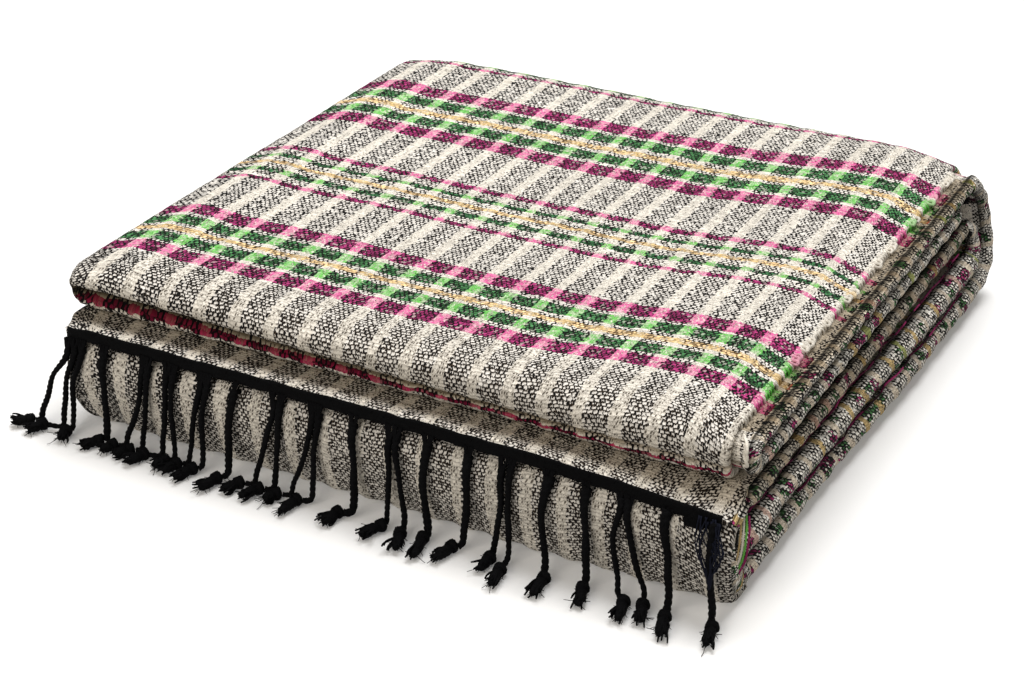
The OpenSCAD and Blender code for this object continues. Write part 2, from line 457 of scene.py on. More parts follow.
    # painted shade: bands of the flank are darker where one lies on the next, and darker towards the
    # underside of the right folds
    band_shade = g.lin(m("PINGPONG", sub(across, 0.5), 0.5), 0.0, 0.3, 0.03, 1.0)
    band_shade = times(band_shade, g.lin(across, 0.75, 1.5, 1.0, 0.45))
    # painted shade: the attribute "dim" darkens creases and edges of the cloth
    dim = g.node("ShaderNodeAttribute", attribute_name="dim").outputs["Fac"]
    # on the flank the painted shade of the bands, with painted extra light of 1.35 over it
    tone = times(times(tone, dim), pick(1.0, times(band_shade, 1.35)))
    colour = g.mul(g.mix(warp_on, weft, warp), g.grey(tone))
    # painted reddened shade in the crease of the front fold
    colour = g.mul(colour, g.mix(crease_red_shade, WHITE, (0.56, 0.22, 0.27)))
    # painted warm shade in the gaps between threads
    colour = g.mul(colour, g.mix(groove_shade_mix, (0.10, 0.07, 0.045), WHITE))
    # painted shade turns warmer where "dim" is low
    colour = g.mul(colour, g.mix(dim, (1.0, 0.80, 0.52), WHITE))
    near = add(times(fu, fu), times(fv, fv))
    dot = times(m("GREATER_THAN", lot(31.0), sub(0.8, times(front, 0.2))),
                m("LESS_THAN", near, add(0.07, times(front, 0.05))))
    colour = g.mix(times(times(dot, cream), 0.85), colour, (0.05, 0.034, 0.02))
    soil = g.lin(g.noise(g.vec(u, v, 0.0), 0.018, 3.0), 0.3, 0.7, 0.94, 1.04)
    colour = g.mul(colour, g.grey(soil))
    rise = add(height, times(fibre, 0.25))
    return g.finish(colour, g.lin(fibre, 0.2, 0.8, 0.78, 0.95), rise, 0.0006)


def yarn_material(name, scale, dark=None, light=None, depth=0.0004):
    """Spun yarn: fine fibres wound round it, and slow changes of tone along it.

    Without two colours of its own, it takes its colour from the attribute "tint"."""
    g = Graph(name)
    coord = g.node("ShaderNodeTexCoord").outputs["Object"]
    fibre = g.noise(coord, scale, 4.0, 0.7)
    slow = g.noise(coord, 55.0, 2.0)
    if dark:
        colour = g.mix(g.lin(fibre, 0.3, 0.75), dark, light)
    else:
        tint = g.node("ShaderNodeAttribute", attribute_name="tint").outputs["Color"]
        colour = g.mul(tint, g.grey(g.lin(fibre, 0.2, 0.8, 0.72, 1.12)))
    colour = g.mul(colour, g.grey(g.lin(slow, 0.3, 0.7, 0.82, 1.1)))
    return g.finish(colour, g.lin(fibre, 0.2, 0.8, 0.77, 0.93), fibre, depth, gloss=0.05)


CLOTH = cloth_material()
TAPE = yarn_material("black_tape", 1500.0, (0.0012, 0.0012, 0.0014), (0.0055, 0.0055, 0.006))
YARN = yarn_material("black_yarn", 1300.0, (0.0012, 0.0012, 0.0015), (0.0075, 0.0075, 0.0085))
NAVY = yarn_material("navy_thread", 1700.0, (0.004, 0.005, 0.010), (0.018, 0.020, 0.034))
EDGE = yarn_material("edge_yarn", 1200.0, depth=0.0006)

# ---------- cloth


def stripe_at(x):
    """Cloth position across the width for an X on a flat panel: the stripes widen to the left."""
    x = np.asarray(x, float)
    even, growth = -6.9, 0.34  # X where they start to widen, and by how much a stripe
    d = np.maximum(even - x, 0)
    k = (-STRIPE + np.sqrt(STRIPE**2 + 4 * growth * d)) / (2 * growth)
    return np.where(x > even, x - even, -k * STRIPE)


def bow(x):
    """How far the weft lies behind a straight line, in mm."""
    x = np.asarray(x, float)
    return (5 * (1 - smooth(-200, -150, x)) - 7 * (1 - smooth(-215, -190, x))
            + 13 * smooth(50, 168, x) - 10 * smooth(172, 203, x) + 0.6 * np.sin(x / 19))


class Section:
    """Outline of three plies folded over one another.

    Ply 1 runs from its free edge at the right to the left fold, ply 2 back to the right fold and
    ply 3 to its free edge at the left. Side A starts on the outside of ply 1, side B inside it.
    free1 and free3 are the X of the free edges, and n1 to n3 the columns of points of each ply.

    Each row of loop is x0, cx, ch, nx, nh, zone and arc: a point at X = x0 + cx plies, ch plies up,
    that relief moves along (nx, nh), in a zone, at an angle round its fold. Zones: 0 is the outside
    of ply 1, 1 the right fold, 2 the left fold, 3 the outside of ply 3 and -1 the rest."""

    def __init__(self, free1, free3, n1, n2, n3):
        gap, turns = 0.46, 11
        rows = []  # side A and then side B of each column

        def ply(xa, xb, n, ch, turn, zone_a, zone_b, round_a, round_b):
            xs = np.linspace(xa, xb, n)
            for i, x in enumerate(xs):
                k = 1.0
                for near, active in ((i, round_a), (n - 1 - i, round_b)):
                    if active and near < 3:
                        k = min(k, (0.25, 0.75, 0.95)[near])
                rows.append((x, 0, ch + turn * gap * k, 0, turn, zone_a, 0,
                             x, 0, ch - turn * gap * k, 0, -turn, zone_b, 0))

        ends = np.array([free1, free1 - 0.8, free1 - 2.0])
        left, right = -HALF_W, HALF_W
        ply(free1, left + 6, n1, 2.5, 1, 0, -1, True, False)
        for i, x in enumerate(ends):
            rows[i] = (x, *rows[i][1:7], x, *rows[i][8:])
        for phi in np.linspace(math.pi / 2, 3 * math.pi / 2, turns):
            c, d, arc = math.cos(phi), math.sin(phi), phi - math.pi / 2
            rows.append((left, 1 + 0.96 * c, 2 + 0.96 * d, c, d, 2, arc,
                         left, 1 + 0.04 * c, 2 + 0.04 * d, 0, 0, -1, arc))
        ply(left + 9, right - 9, n2, 1.5, -1, -1, -1, False, False)
        for phi in np.linspace(math.pi / 2, -math.pi / 2, turns):
            c, d, arc = math.cos(phi), math.sin(phi), math.pi / 2 - phi
            rows.append((right, -1 + 0.04 * c, 1 + 0.04 * d, 0, 0, -1, arc,
                         right, -1 + 0.96 * c, 1.2 + 1.16 * d, c, d, 1, arc))
        ply(right - 6, free3, n3, 0.5, 1, -1, 3, False, True)
        r = np.array(rows, float)
        self.loop = np.vstack([r[:, :7], r[::-1, 7:]])
        self.n = len(rows)


def level(y, z):
    """A row of Y and Z at one height."""
    return np.stack([y, np.full(len(y), z)], 1)


def ribbon(name, section, inner, outer, along, phase, relief, band, nodes, body=None, sag=None,
           dim=None, mark=0.0):
    """The folded plies swept along rows of inner and outer points in Y and Z.

    along is the cloth's length in mm at each row, and phase the place in its repeat of stripes.
    sag moves the points, dim paints shade on them, and mark goes to the third number of "flank"."""
    inner, outer = np.asarray(inner, float), np.asarray(outer, float)
    along, phase = np.asarray(along, float)[:, None], np.asarray(phase, float)
    phase = phase if phase.ndim == 2 else phase[:, None]
    span = outer - inner
    full = np.linalg.norm(span, axis=1)[:, None]
    out = (span / full)[:, None, :]
    t = full / 3
    x0, cx, ch, nx, nh, zone, arc = section.loop.T
    x = x0 + cx * t
    lift = relief(x, along + 0 * x, zone + 0 * x)
    yz = inner[:, None, :] + out * (ch * t + nh * lift)[..., None]
    xx = x + nx * lift
    pts = np.concatenate([xx[..., None], yz], 2)
    if sag is not None:
        pts = sag(pts)
    shift = bow(np.clip(x, -HALF_W, HALF_W))
    u = stripe_at(np.clip(x, -HALF_W + 3, 300)) - np.where(zone == 2, arc * t * 0.96, 0)
    cloth = np.stack([u, along - shift, phase - shift], 2)
    flank = np.stack([along - 0.62 * arc * t + 3.0 * np.sin(along / 31.0 + band),
                      arc * t * 0.96 + 100 * band + 2,
                      np.where(zone == 1, 0.5 + arc / math.pi, mark) + 0 * x], 2)
    n, m = x.shape
    # caps join the two sides of the ribbon
    w = section.n
    c = np.arange(w - 1)
    cap = np.stack([c, 2 * w - 1 - c, 2 * w - 2 - c, c + 1], 1)
    faces = np.vstack([quads(n, m), cap, cap[:, ::-1] + (n - 1) * m])
    shade = np.ones(n * m) if dim is None else dim(x, pts[..., 1], pts[..., 2]).ravel()
    ob = make_mesh(name, pts.reshape(-1, 3), faces.tolist(), CLOTH,
                   cloth=cloth.reshape(-1, 3), flank=flank.reshape(-1, 3), dim=shade)
    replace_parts(ob, *nodes)
    if body:
        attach(ob, body)
    return ob


def puff(seed, top=0.5, flank=1.1):
    """Relief of a panel's outside: soft waves, raised cream stripes, and lumps down the flank."""

    def relief(x, s, zone):
        wave = noise(x, s, 60, seed) * top + noise(x, s, 17, seed + 1) * 0.35 * top
        knobs = noise(x, s, 4.1, seed + 2) * 0.22
        rib = 0.28 * np.cos(stripe_at(x) * 2 * math.pi / STRIPE)
        flat = wave + knobs + rib - 0.3
        lump = (flank * (0.45 * noise(s, x * 0, 34, seed + 3) + 0.35 * noise(s, x, 11, seed + 4))
                + 0.35 * np.cos(s * 2 * math.pi / STRIPE) + knobs)
        soft = flank * 0.5 * noise(s, x * 0, 46, seed + 5) + knobs - 0.6
        return np.select([zone == 0, zone == 3, zone == 1, zone == 2], [flat, flat, lump - 0.5, soft], 0.0)

    return relief


def top_phase(y):
    """Place in the repeat of stripes for a Y on the top panel. Zero is the middle of a wide group."""
    y = np.asarray(y, float)
    y = y + 5.62 + 0.0105 * y - 0.00004 * y * y
    return y - 0.000385 * y * y + 12.5 * smooth(150, 186, y) - 98.5


STEP = 2.4
# upper leaf: from the underside of the front fold, round it and over the top to the back fold
theta = np.radians(np.linspace(180, 0, 27))
arc_n = np.stack([-np.sin(theta), np.cos(theta)], 1)
centre = np.array([UPPER_FRONT_Y, UPPER_MID_Z])
top_y = np.linspace(UPPER_FRONT_Y, BACK_Y, int((BACK_Y - UPPER_FRONT_Y) / STEP))[1:]
inner = np.vstack([centre + FRONT_R_IN * arc_n, level(top_y, TOP_Z)])
outer = np.vstack([centre + FRONT_R * arc_n, level(top_y, TOTAL_H)])
along_top = np.concatenate([UPPER_FRONT_Y - FRONT_R * theta, top_y])
top_turn = np.concatenate([theta, 0 * top_y])[:, None]
top_section = Section(201, FREE_LEFT, 172, 14, 16)
section_x = top_section.loop[:, 0]
# only the first thin stripe of the next group comes round to the lip of the front fold
round_front = np.interp(theta[:, None] - 0.07 * smooth(-60, 190, section_x),
                        [0, 2.1, 2.23, math.pi], [0, 31.6, 37.9, 42.5])
straight = bow(np.clip(section_x, -HALF_W, HALF_W)) * smooth(0, 1.9, theta)[:, None]
phase_top = np.concatenate([top_phase(UPPER_FRONT_Y) - round_front + straight,
                            top_phase(top_y)[:, None] + 0 * section_x])


def top_relief(x, s, zone):
    """The round front has a roll above the crease, and a lip below it."""
    base = puff(11, 0.5, 1.2)(x, s, zone)
    turn = (UPPER_FRONT_Y - s) / FRONT_R
    lip = 1.4 * np.exp(-((turn - 2.4) / 0.3) ** 2)
    roll = 2.2 * np.exp(-((turn - 1.25) / 0.42) ** 2)
    front = (zone == 0) & (turn > 0)
    return base + np.where(front, lip + roll, 0)


def side_drop(x):
    """How far the top sinks towards its sides."""
    return 5 * (1 - smooth(-215, -172, x)) + 2.0 * smooth(165, 212, x)


def top_sag(pts):
    """The crease under the round front, open to the left, and the sides of the top that sink."""
    x, y, z = np.moveaxis(pts, -1, 0)
    open_left = 1 - smooth(-190, 80, x)
    depth = (2.0 + 10.5 * open_left**1.4) * smooth(-216, -203, x)
    depth = depth * np.exp(-((top_turn - 2.0 + 0.14 * open_left) / (0.13 + 0.13 * open_left)) ** 2)
    keep = np.where(top_turn > 0, 1 - depth / FRONT_R, 1.0)
    y = np.where(top_turn > 0, UPPER_FRONT_Y + (y - UPPER_FRONT_Y) * keep, y)
    z = np.where(top_turn > 0, UPPER_MID_Z + (z - UPPER_MID_Z) * keep, z)
    high = np.clip((z - UPPER_MID_Z) / FRONT_R, 0, 1)
    return np.stack([x, y, z - high * side_drop(x)], -1)


def top_dim(x, y, z):
    """Painted shade where less light reaches: the crease of the front fold, and the free edge of the top
    ply.
    """
    open_left = 1 - smooth(-190, 60, x)
    depth = (0.82 + 0.16 * open_left) * (1 - 0.5 * smooth(60, 190, x))
    off = (top_turn - 2.0 + 0.09 * open_left) / (0.13 + 0.18 * open_left)
    crease = 1 - depth * np.exp(-np.abs(off) ** 3)
    under_edge = 1 - 0.62 * smooth(201.3, 203, x) * smooth(89, 95, z) * (top_turn < 0.01)
    return crease * under_edge


def strip_dim(x, y, z):
    """Less light reaches the fringed edge close under the front fold."""
    return 1 - 0.32 * smooth(-213, -200, y)


def bulge_sag(pts):
    """The bulge stops short of the left edge, and its lower left corner is round."""
    x, y, z = np.moveaxis(pts, -1, 0)
    left = 1 - smooth(-217, -130, x)
    low = 1 - smooth(1, 28, z)
    return np.stack([x + left * (8 + 2 * low**2), y + left * 2 * low, z], -1)


def strip_sag(pts):
    """The fringed edge rides up on the bulge, stops short at the left and droops at the right."""
    x, y, z = np.moveaxis(pts, -1, 0)
    front = 1 - smooth(-214, -192, y)
    rise = 2.6 - 7.5 * smooth(110, 208, x)
    return np.stack([x + 10 * front * (1 - smooth(-218, -120, x)), y, z + rise * front], -1)


def low_spread(pts):
    """The lower folds bulge out at the right and at the back."""
    x, y, z = np.moveaxis(pts, -1, 0)
    low = 1 - smooth(18, 78, z)
    return np.stack([x + 8 * smooth(120, 215, x) * smooth(-150, 160, y) * low,
                     y + 7 * smooth(150, 222, y) * low * smooth(-80, 215, x), z], -1)


# marks of the weave: painted reddened shade on the magenta stripe in the crease, and the front's upright
# columns
CREASE_SHADE_MARK, FRONT_MARK = 0.2, -0.2
top_mark = np.concatenate([
    CREASE_SHADE_MARK * smooth(1.75, 1.9, theta) * (1 - smooth(2.44, 2.5, theta))
    + FRONT_MARK * (1 - smooth(1.6, 1.75, theta)),
    FRONT_MARK * (1 - smooth(-178, -162, top_y))])[:, None]


def back_sag(pts):
    """The outer back fold meets the lowered sides of the top, and its right shoulder is round."""
    pts = low_spread(pts)
    x, y, z = np.moveaxis(pts, -1, 0)
    high = smooth(62, 100, z)
    right = high * smooth(150, 214, x)
    y = BACK_Y + (y - BACK_Y) * (1 - 0.34 * right)
    z = z - high * side_drop(x) - 3.5 * right * smooth(BACK_Y, 205, y)
    return np.stack([x, y, z], -1)


top_cloth = ribbon("top_cloth", top_section, inner, outer, along_top, phase_top, top_relief, 1,
                   ["top_panel", "upper_front_fold"], "upper_leaf", top_sag, top_dim, top_mark)

# tucked panel, with the coloured side down
tuck_y = np.linspace(UPPER_FRONT_Y, INNER_END_Y, int((INNER_END_Y - UPPER_FRONT_Y) / STEP))
tucked_cloth = ribbon(
    "tucked_cloth", Section(196, FREE_LEFT, 172, 14, 16),
    level(tuck_y, TUCKED_Z + UPPER_T), level(tuck_y, TUCKED_Z),
    along_top[0] - (tuck_y - UPPER_FRONT_Y),
    phase_top[0] - np.maximum(tuck_y - UPPER_FRONT_Y - 60, 0)[:, None],
    puff(23, 0.35, 1.2), 2, ["tucked_panel"], "upper_leaf")

# outer back fold, from the top panel round to the base panel
INNER_R = (TOP_Z - LOWER_T) / 2 - SEAM


def squared(centre_z, radius):
    """A half turn from the top to the bottom, fuller than a half circle in its corners."""
    a = np.linspace(0, math.pi, 400)
    full = np.stack([BACK_Y + radius * np.abs(np.sin(a)) ** 0.68,
                     centre_z + radius * np.sign(np.cos(a)) * np.abs(np.cos(a)) ** 0.74], 1)
    return resample(full, count=70)


back_in = squared(LOWER_T + SEAM + INNER_R, INNER_R)
back_out = squared(BACK_R, BACK_R)
back_s = lengths(back_out)
back_along = BACK_Y + back_s
back_fold = ribbon("back_fold_cloth", Section(197, FREE_LEFT, 172, 20, 30), back_in, back_out, back_along,
                   top_phase(BACK_Y) + back_s * 1.25, puff(31, 0.4, 1.2), 6,
                   ["outer_back_fold_upper", "outer_back_fold_lower"], sag=back_sag)
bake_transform(back_fold)

# base panel, with the coloured side down
base_y = np.linspace(BACK_Y, -190, int((BACK_Y + 190) / 4))
base_along = back_along[-1] + (BACK_Y - base_y)
base_cloth = ribbon("base_cloth", Section(194, FREE_LEFT, 100, 12, 16), level(base_y, LOWER_T),
                    level(base_y, 0.5), base_along, base_along, puff(41, 0.15, 1.6), 5, ["base_panel"],
                    "lower_stack", low_spread)

# lower front fold: a full round bulge
profile = spline([(-190, 0.5), (-200, 0.6), (-207, 2.0), (-212, 7), (-215, 14), (-217.6, 23),
                  (-219.2, 33), (-219.8, 43), (-218.8, 51), (-214, 57.5), (-206, 59.6), (-196, 59.2)], 6)
bulge_in = np.stack([np.linspace(-190, -196, len(profile)), np.linspace(24.6, 25.4, len(profile))], 1)
bulge_in[:, 0] -= 6 * np.sin(np.linspace(0, math.pi, len(profile)))
bulge_along = base_along[-1] + lengths(profile)


def bulge_relief(x, s, zone):
    body = noise(x, s, 48, 51) * 0.9 - 1.0
    rib = 0.75 * np.cos(stripe_at(x) * 2 * math.pi / STRIPE)
    flat = body + rib + noise(x, s, 4.1, 52) * 0.3
    lump = 1.6 * (0.5 * noise(s, x * 0, 26, 53) + 0.3 * noise(s, x, 9, 54)) - 1.2
    return np.select([zone == 0, zone == 1, zone == 2], [flat, lump, lump], 0.0)


bulge_cloth = ribbon("bulge_cloth", Section(212, FREE_LEFT, 176, 14, 16), bulge_in, profile, bulge_along,
                     np.full(len(profile), PALE_PHASE), bulge_relief, 7, ["lower_front_fold"],
                     "lower_stack", bulge_sag, mark=FRONT_MARK)

# middle panel
mid_y = np.linspace(-196, BACK_Y, int((BACK_Y + 196) / 4))
mid_along = bulge_along[-1] + (mid_y + 196)
middle_cloth = ribbon("middle_cloth", Section(194, FREE_LEFT, 60, 12, 16), level(mid_y, MIDDLE_Z),
                      level(mid_y, MIDDLE_Z + LOWER_T), mid_along, mid_along, puff(61, 0.1, 1.6), 4,
                      ["middle_panel"], "lower_stack", low_spread)

# inner back fold, from the middle panel up to the fringed panel; ply 3 is its outside
r_in = (TUCKED_Z - 0.8 - MIDDLE_Z) / 2
fold_turn = np.radians(np.linspace(180, 0, 31))
fold_n = np.stack([np.sin(fold_turn), np.cos(fold_turn)], 1)
fold_out = np.array([BACK_Y, MIDDLE_Z + r_in]) + r_in * fold_n
fold_core = np.array([BACK_Y + 0.4, FRINGE_Z - 0.2]) + 0.3 * fold_n
inner_along = mid_along[-1] + r_in * (math.pi - fold_turn)
inner_fold = ribbon("inner_back_cloth", Section(194, FREE_LEFT, 60, 14, 100), fold_out, fold_core,
                    inner_along, inner_along, puff(71, 0.3, 1.4), 8, ["inner_back_fold"],
                    "lower_stack", low_spread)

# fringed panel; its front edge is drawn out over the bulge
fringe_y = np.concatenate([np.linspace(BACK_Y, -186, 146), np.linspace(-186, LIP_Y, 16)[1:]])
over = smooth(-188, -204, fringe_y)
fringe_top = FRINGE_Z + FRINGE_T - 0.9 * over - 1.2 * smooth(-208, -216, fringe_y)
fringe_low = FRINGE_Z + 10.4 * over
fringe_cloth = ribbon("fringe_cloth", Section(194, -214, 40, 14, 172),
                      np.stack([fringe_y, fringe_top], 1), np.stack([fringe_y, fringe_low], 1),
                      inner_along[-1] + (BACK_Y - fringe_y),
                      PALE_PHASE + np.maximum(fringe_y + 150, 0), puff(81, 0.4, 1.2), 3,
                      ["fringe_panel"], "lower_stack", strip_sag, strip_dim, FRONT_MARK)

# ---------- tape


def tape_strip(name, line, height, thick, nodes, body, seed):
    """A ribbed black tape standing on edge along a line of bottom points in mm."""
    line = resample(np.asarray(line, float), 1.2)
    n = len(line)
    head = np.gradient(line, axis=0)
    head /= np.linalg.norm(head, axis=1)[:, None]
    out = np.cross(head, [0, 0, 1.0])
    s = lengths(line)
    ring = [(0.0, 0.0), (0.5, 0.02), (0.95, 0.12), (1.0, 0.3), (1.0, 0.5), (1.0, 0.7), (0.9, 0.88),
            (0.5, 0.98), (0.0, 1.0), (0.0, 0.75), (0.0, 0.5), (0.0, 0.25)]
    pts = []
    for depth, rise in ring:
        rib = 0.16 * np.sin(s * 2 * math.pi / 2.6 + 9 * rise)
        rib = rib + noise(s, s * 0 + 40 * rise, 5, seed) * 0.35
        edge = noise(s, s * 0, 9, seed + 1) * 0.5 * (abs(rise - 0.5) * 2)
        d = depth * thick + np.where(depth > 0.4, rib, 0)
        pts.append(line + out * d[:, None] + np.array([0, 0, 1.0]) * (rise * height + edge)[:, None])
    m = len(ring)
    pts = np.stack(pts, 1).reshape(-1, 3)
    faces = quads(n, m)[:, [0, 3, 2, 1]].tolist()
    faces.append(list(range(m)))
    faces.append([(n - 1) * m + k for k in range(m)][::-1])
    ob = make_mesh(name, pts, faces, TAPE)
    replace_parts(ob, *nodes)
    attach(ob, body)


front_tape_line = spline([
    (-203.4, -213.4, 58.6), (-198, -215.9, 60.0), (-176, -216.1, 60.9), (-100, -216.1, 61.0),
    (0, -216.1, 60.9), (90, -216.1, 60.4), (150, -216.1, 58.6), (206, -215.8, 54.4)], 12)
tape_strip("front_tape", front_tape_line, 7.8, 1.6, ["front_end_tape"], "lower_stack", 91)
tape_strip("under_tape", spline([(186, -216, 50.3), (193, -216.3, 50.6), (200, -216, 50.2)], 6),
           7.6, 1.5, ["under_end_tape"], "lower_stack", 95)
tape_strip("inner_tape", [(208, INNER_END_Y, INNER_Z - 4), (-208, INNER_END_Y, INNER_Z - 4)],
           8.0, 1.6, ["inner_end_tape"], "upper_leaf", 97)

# ---------- tassels
# X it hangs from, X at half height, X near the surface, X and Y of the knot, X and Y of the
# brush's end, and 1 where it hangs alone
TASSELS = [
    (-201, -212, -223, -229, -227, -238, -234, 0), (-196, -202, -207, -219, -227, -223, -238, 0),
    (-191, -197, -200, -202, -227, -200, -237, 0), (-175, -174, -175, -178, -227, -186, -237, 1),
    (-148, -150, -161, -168, -227, -171, -236, 0), (-144, -145, -150, -156, -227, -162, -236, 0),
    (-131, -132, -136, -146, -227, -150, -240, 0), (-127, -128, -127, -131, -227, -133, -236, 0),
    (-108, -112, -117, -123, -227, -126, -238, 0), (-104, -107, -108, -112, -227, -117, -241, 0),
    (-86, -88, -90, -94, -229, -97, -244, 1), (-59, -63, -72, -80, -227, -86, -239, 0),
    (-55, -56, -59, -67, -227, -73, -240, 0), (-34, -37, -47, -55, -227, -60, -235, 0),
    (-30, -32, -34, -42, -227, -44, -243, 0), (-8, -6, -7, -15, -227, -17, -241, 1),
    (15, 16, 14, 13, -227, 6, -242, 0), (19, 22, 25, 26, -229, 32, -245, 0),
    (38, 37, 40, 39, -227, 44, -247, 1), (63, 64, 62, 57, -227, 54, -243, 1),
    (83, 84, 80, 80, -227, 80, -240, 0), (88, 88, 89, 90, -234, 92, -250, 0),
    (110, 108, 111, 114, -230, 115, -248, 1), (132, 134, 135, 136, -229, 141, -245, 1),
    (152, 149, 153, 160, -230, 164, -247, 0), (156, 159, 168, 170, -228, 175, -243, 0),
    (177, 180, 182, 184, -232, 188, -250, 1), (203, 203, 206, 209, -229, 212, -246, 1),
]


def brush(knot, tip, rng, knot_r=4.1):
    """A knot of crossed turns of yarn, and past it a frayed lump of yarn ends with stray hairs."""
    out = unit(tip - knot)
    side = unit(np.cross(out, [0, 0, 1.0]))
    up = np.cross(side, out)
    parts = []
    for tilt, shift in ((0.5, -1.0), (-0.6, 1.0), (0.1, 0.0)):
        a = np.linspace(0, 2 * math.pi, 19)
        axis = unit(out + side * tilt * 0.6)
        e1 = unit(np.cross(axis, up))
        e2 = np.cross(axis, e1)
        ring = knot + out * shift + (knot_r - 1.7) * (np.cos(a)[:, None] * e1 + np.sin(a)[:, None] * e2)
        parts.append(tube(ring, 1.7, 7, 2, 4.0, 0.2))
    core = np.array([knot - out * 2.4, knot, knot + out * 2.6])
    parts.append(tube(resample(core, 1.0), 2.6, 8))
    length = np.linalg.norm(tip - knot)
    body = resample(np.array([knot, knot + out * length * 0.5, knot + out * length * 0.86]), 1.0)
    swell = np.sin(np.linspace(0.6, 2.75, len(body)))
    parts.append(tube(body, 0.8 + 2.5 * swell, 9, 6, 3.0, 0.22))
    turn = rng.uniform(-0.5, 0.5)
    for i in range(20):
        spread = rng.uniform(-1, 1, 2)
        reach = length * rng.uniform(0.6, 1.0)
        bend = rng.uniform(-1, 1, 2) * 1.5
        fan = 3.3 * spread[0] + turn * 4 + (rng.uniform(-3, 3) if rng.random() < 0.15 else 0)
        p0 = knot + out * 1.5 + side * spread[0] * 0.9 + up * spread[1] * 0.9
        p1 = knot + out * (reach * 0.45) + side * (spread[0] * 2.4) + up * (spread[1] * 2.0)
        p2 = knot + out * (reach * 0.75) + side * (fan * 0.9 + bend[0] * 0.5) + up * (spread[1] * 2.6)
        p3 = knot + out * reach + side * (fan + bend[0]) + up * (spread[1] * 2.4 + bend[1])
        line = spline([p0, p1, p2, p3], 3)
        line[:, 2] = np.maximum(line[:, 2], 0.9)
        parts.append(tube(line, np.linspace(1.0, 0.5, len(line)), 5, 2, 3.0, 0.2))
    for i in range(26):
        d = unit(out + side * rng.normal() * 0.9 + up * rng.normal() * 0.4)
        start = knot + out * rng.uniform(0, length * 0.8)
        curl = rng.normal(size=3) * 1.8
        reach = rng.uniform(2.5, 5.5)
        line = spline([start, start + d * reach * 0.5 + curl * 0.4, start + d * reach + curl], 3)
        line[:, 2] = np.maximum(line[:, 2], 0.4)
        parts.append(tube(line, 0.2, 3))
    return joined(parts)


def tassel(i, row):
    x0, x1, x2, knot_x, knot_y, tip_x, tip_y, alone = row
    rng = np.random.default_rng(100 + i)
    r = 2.4 if alone else 1.7
    hang = FRONT_Y - r - 0.4
    low = np.array([x2, hang - 1, r + 1])
    knot = np.array([knot_x, knot_y, 3.6])
    tip = np.array([tip_x, tip_y, 3.5])
    route = [(x0, TAPE_FACE_Y, 57.5), (x0, hang + 1, 50), (x1, hang, 36), ((x1 + x2) / 2, hang, 20),
             (x2, hang, 9), tuple(low), tuple(knot - unit(knot - low) * 3.4)]
    path = resample(spline(route, 8), 0.9)
    wobble = noise(lengths(path), 0 * path[:, 0], 9, i) * 0.35
    path[1:-1, 0] += wobble[1:-1]
    for _ in range(18):  # ease the bend where the cord meets the ground
        path[2:-1] = 0.5 * path[2:-1] + 0.25 * (path[1:-2] + path[3:])
    number = f"{i + 1:02d}"
    s = lengths(path)
    thick = r * (1.04 - 0.12 * alone + 0.4 * np.exp(-((s / 9.0) ** 2))
                 + 0.12 * noise(s, 0 * s, 12, i + 40))
    cord = make_mesh(f"cord_{number}", *tube(path, thick, 12, 2, 7.5, 0.27, phase=i), YARN)
    end = make_mesh(f"brush_{number}", *brush(knot, tip, rng), YARN)
    for ob in (cord, end):
        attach(ob, "lower_stack")
    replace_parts(cord, f"tassel_{number}")


for index, row in enumerate(TASSELS):
    tassel(index, row)

# where each tassel leaves the tape its yarns spread out into a tuft
parts = []
rng = np.random.default_rng(77)
tape_low = front_tape_line[np.argsort(front_tape_line[:, 0])]
for t in TASSELS:
    for i in range(9):
        x = t[0] + rng.uniform(-3.4, 3.4)
        z = np.interp(x, tape_low[:, 0], tape_low[:, 2])
        line = spline([(x, TAPE_FACE_Y, z + 2.2), (x * 0.6 + t[0] * 0.4, -218.6, z - 2),
                       (t[0] + rng.uniform(-0.8, 0.8), -220.6, 52.0),
                       (t[0] * 0.75 + t[1] * 0.25, -221.4, 46.0)], 4)
        parts.append(tube(line, np.linspace(1.0, 0.7, len(line)), 5, 2, 4.0, 0.2, phase=i))
# short hairs along the tape's lower and upper edges
for x in rng.uniform(-200, 204, 420):
    z = np.interp(x, tape_low[:, 0], tape_low[:, 2]) + (7.6 if rng.random() < 0.4 else 0.2)
    start = np.array([x, -217.4, z])
    d = np.array([rng.normal() * 1.3, -rng.uniform(0.2, 1.2), rng.normal() * 0.9])
    parts.append(tube(np.array([start, start + d * 0.6, start + d * 1.1 + [0, 0, -0.4]]), 0.22, 3))
bundle("tape_tufts", parts, YARN, "lower_stack")

# dark threads that have come loose at the right end of the tape
parts = []
for i in range(8):
    x0, x1 = rng.uniform(194, 206), rng.uniform(202, 211)
    drop = rng.uniform(12, 34)
    belly = rng.uniform(-7, 8)
    line = spline([(x0, -218, 60), (x0 + belly * 0.6, -222 - rng.uniform(0, 2), 60 - drop * 0.4),
                   (x0 * 0.5 + x1 * 0.5 + belly, -224 - rng.uniform(0, 2), 60 - drop * 0.8),
                   (x1, -224, 60 - drop), (x1 + rng.uniform(-3, 3), -223, 60 - drop * 0.55),
                   (rng.uniform(199, 207), -219, 59)], 7)
    parts.append(tube(line, 0.42, 5, 2, 2.5, 0.2, phase=i))
for i in range(5):
    x0 = rng.uniform(198, 209)
    line = spline([(x0, -218.5, 58), (x0 + rng.uniform(-4, 4), -223.5, 44),
                   (x0 * 0.4 + 205 * 0.6, -225, 30), (204.5, -224.5, 22)], 7)
    parts.append(tube(line, 0.55, 5, 2, 2.5, 0.2, phase=i))
bundle("tape_fray", parts, NAVY, "lower_stack")

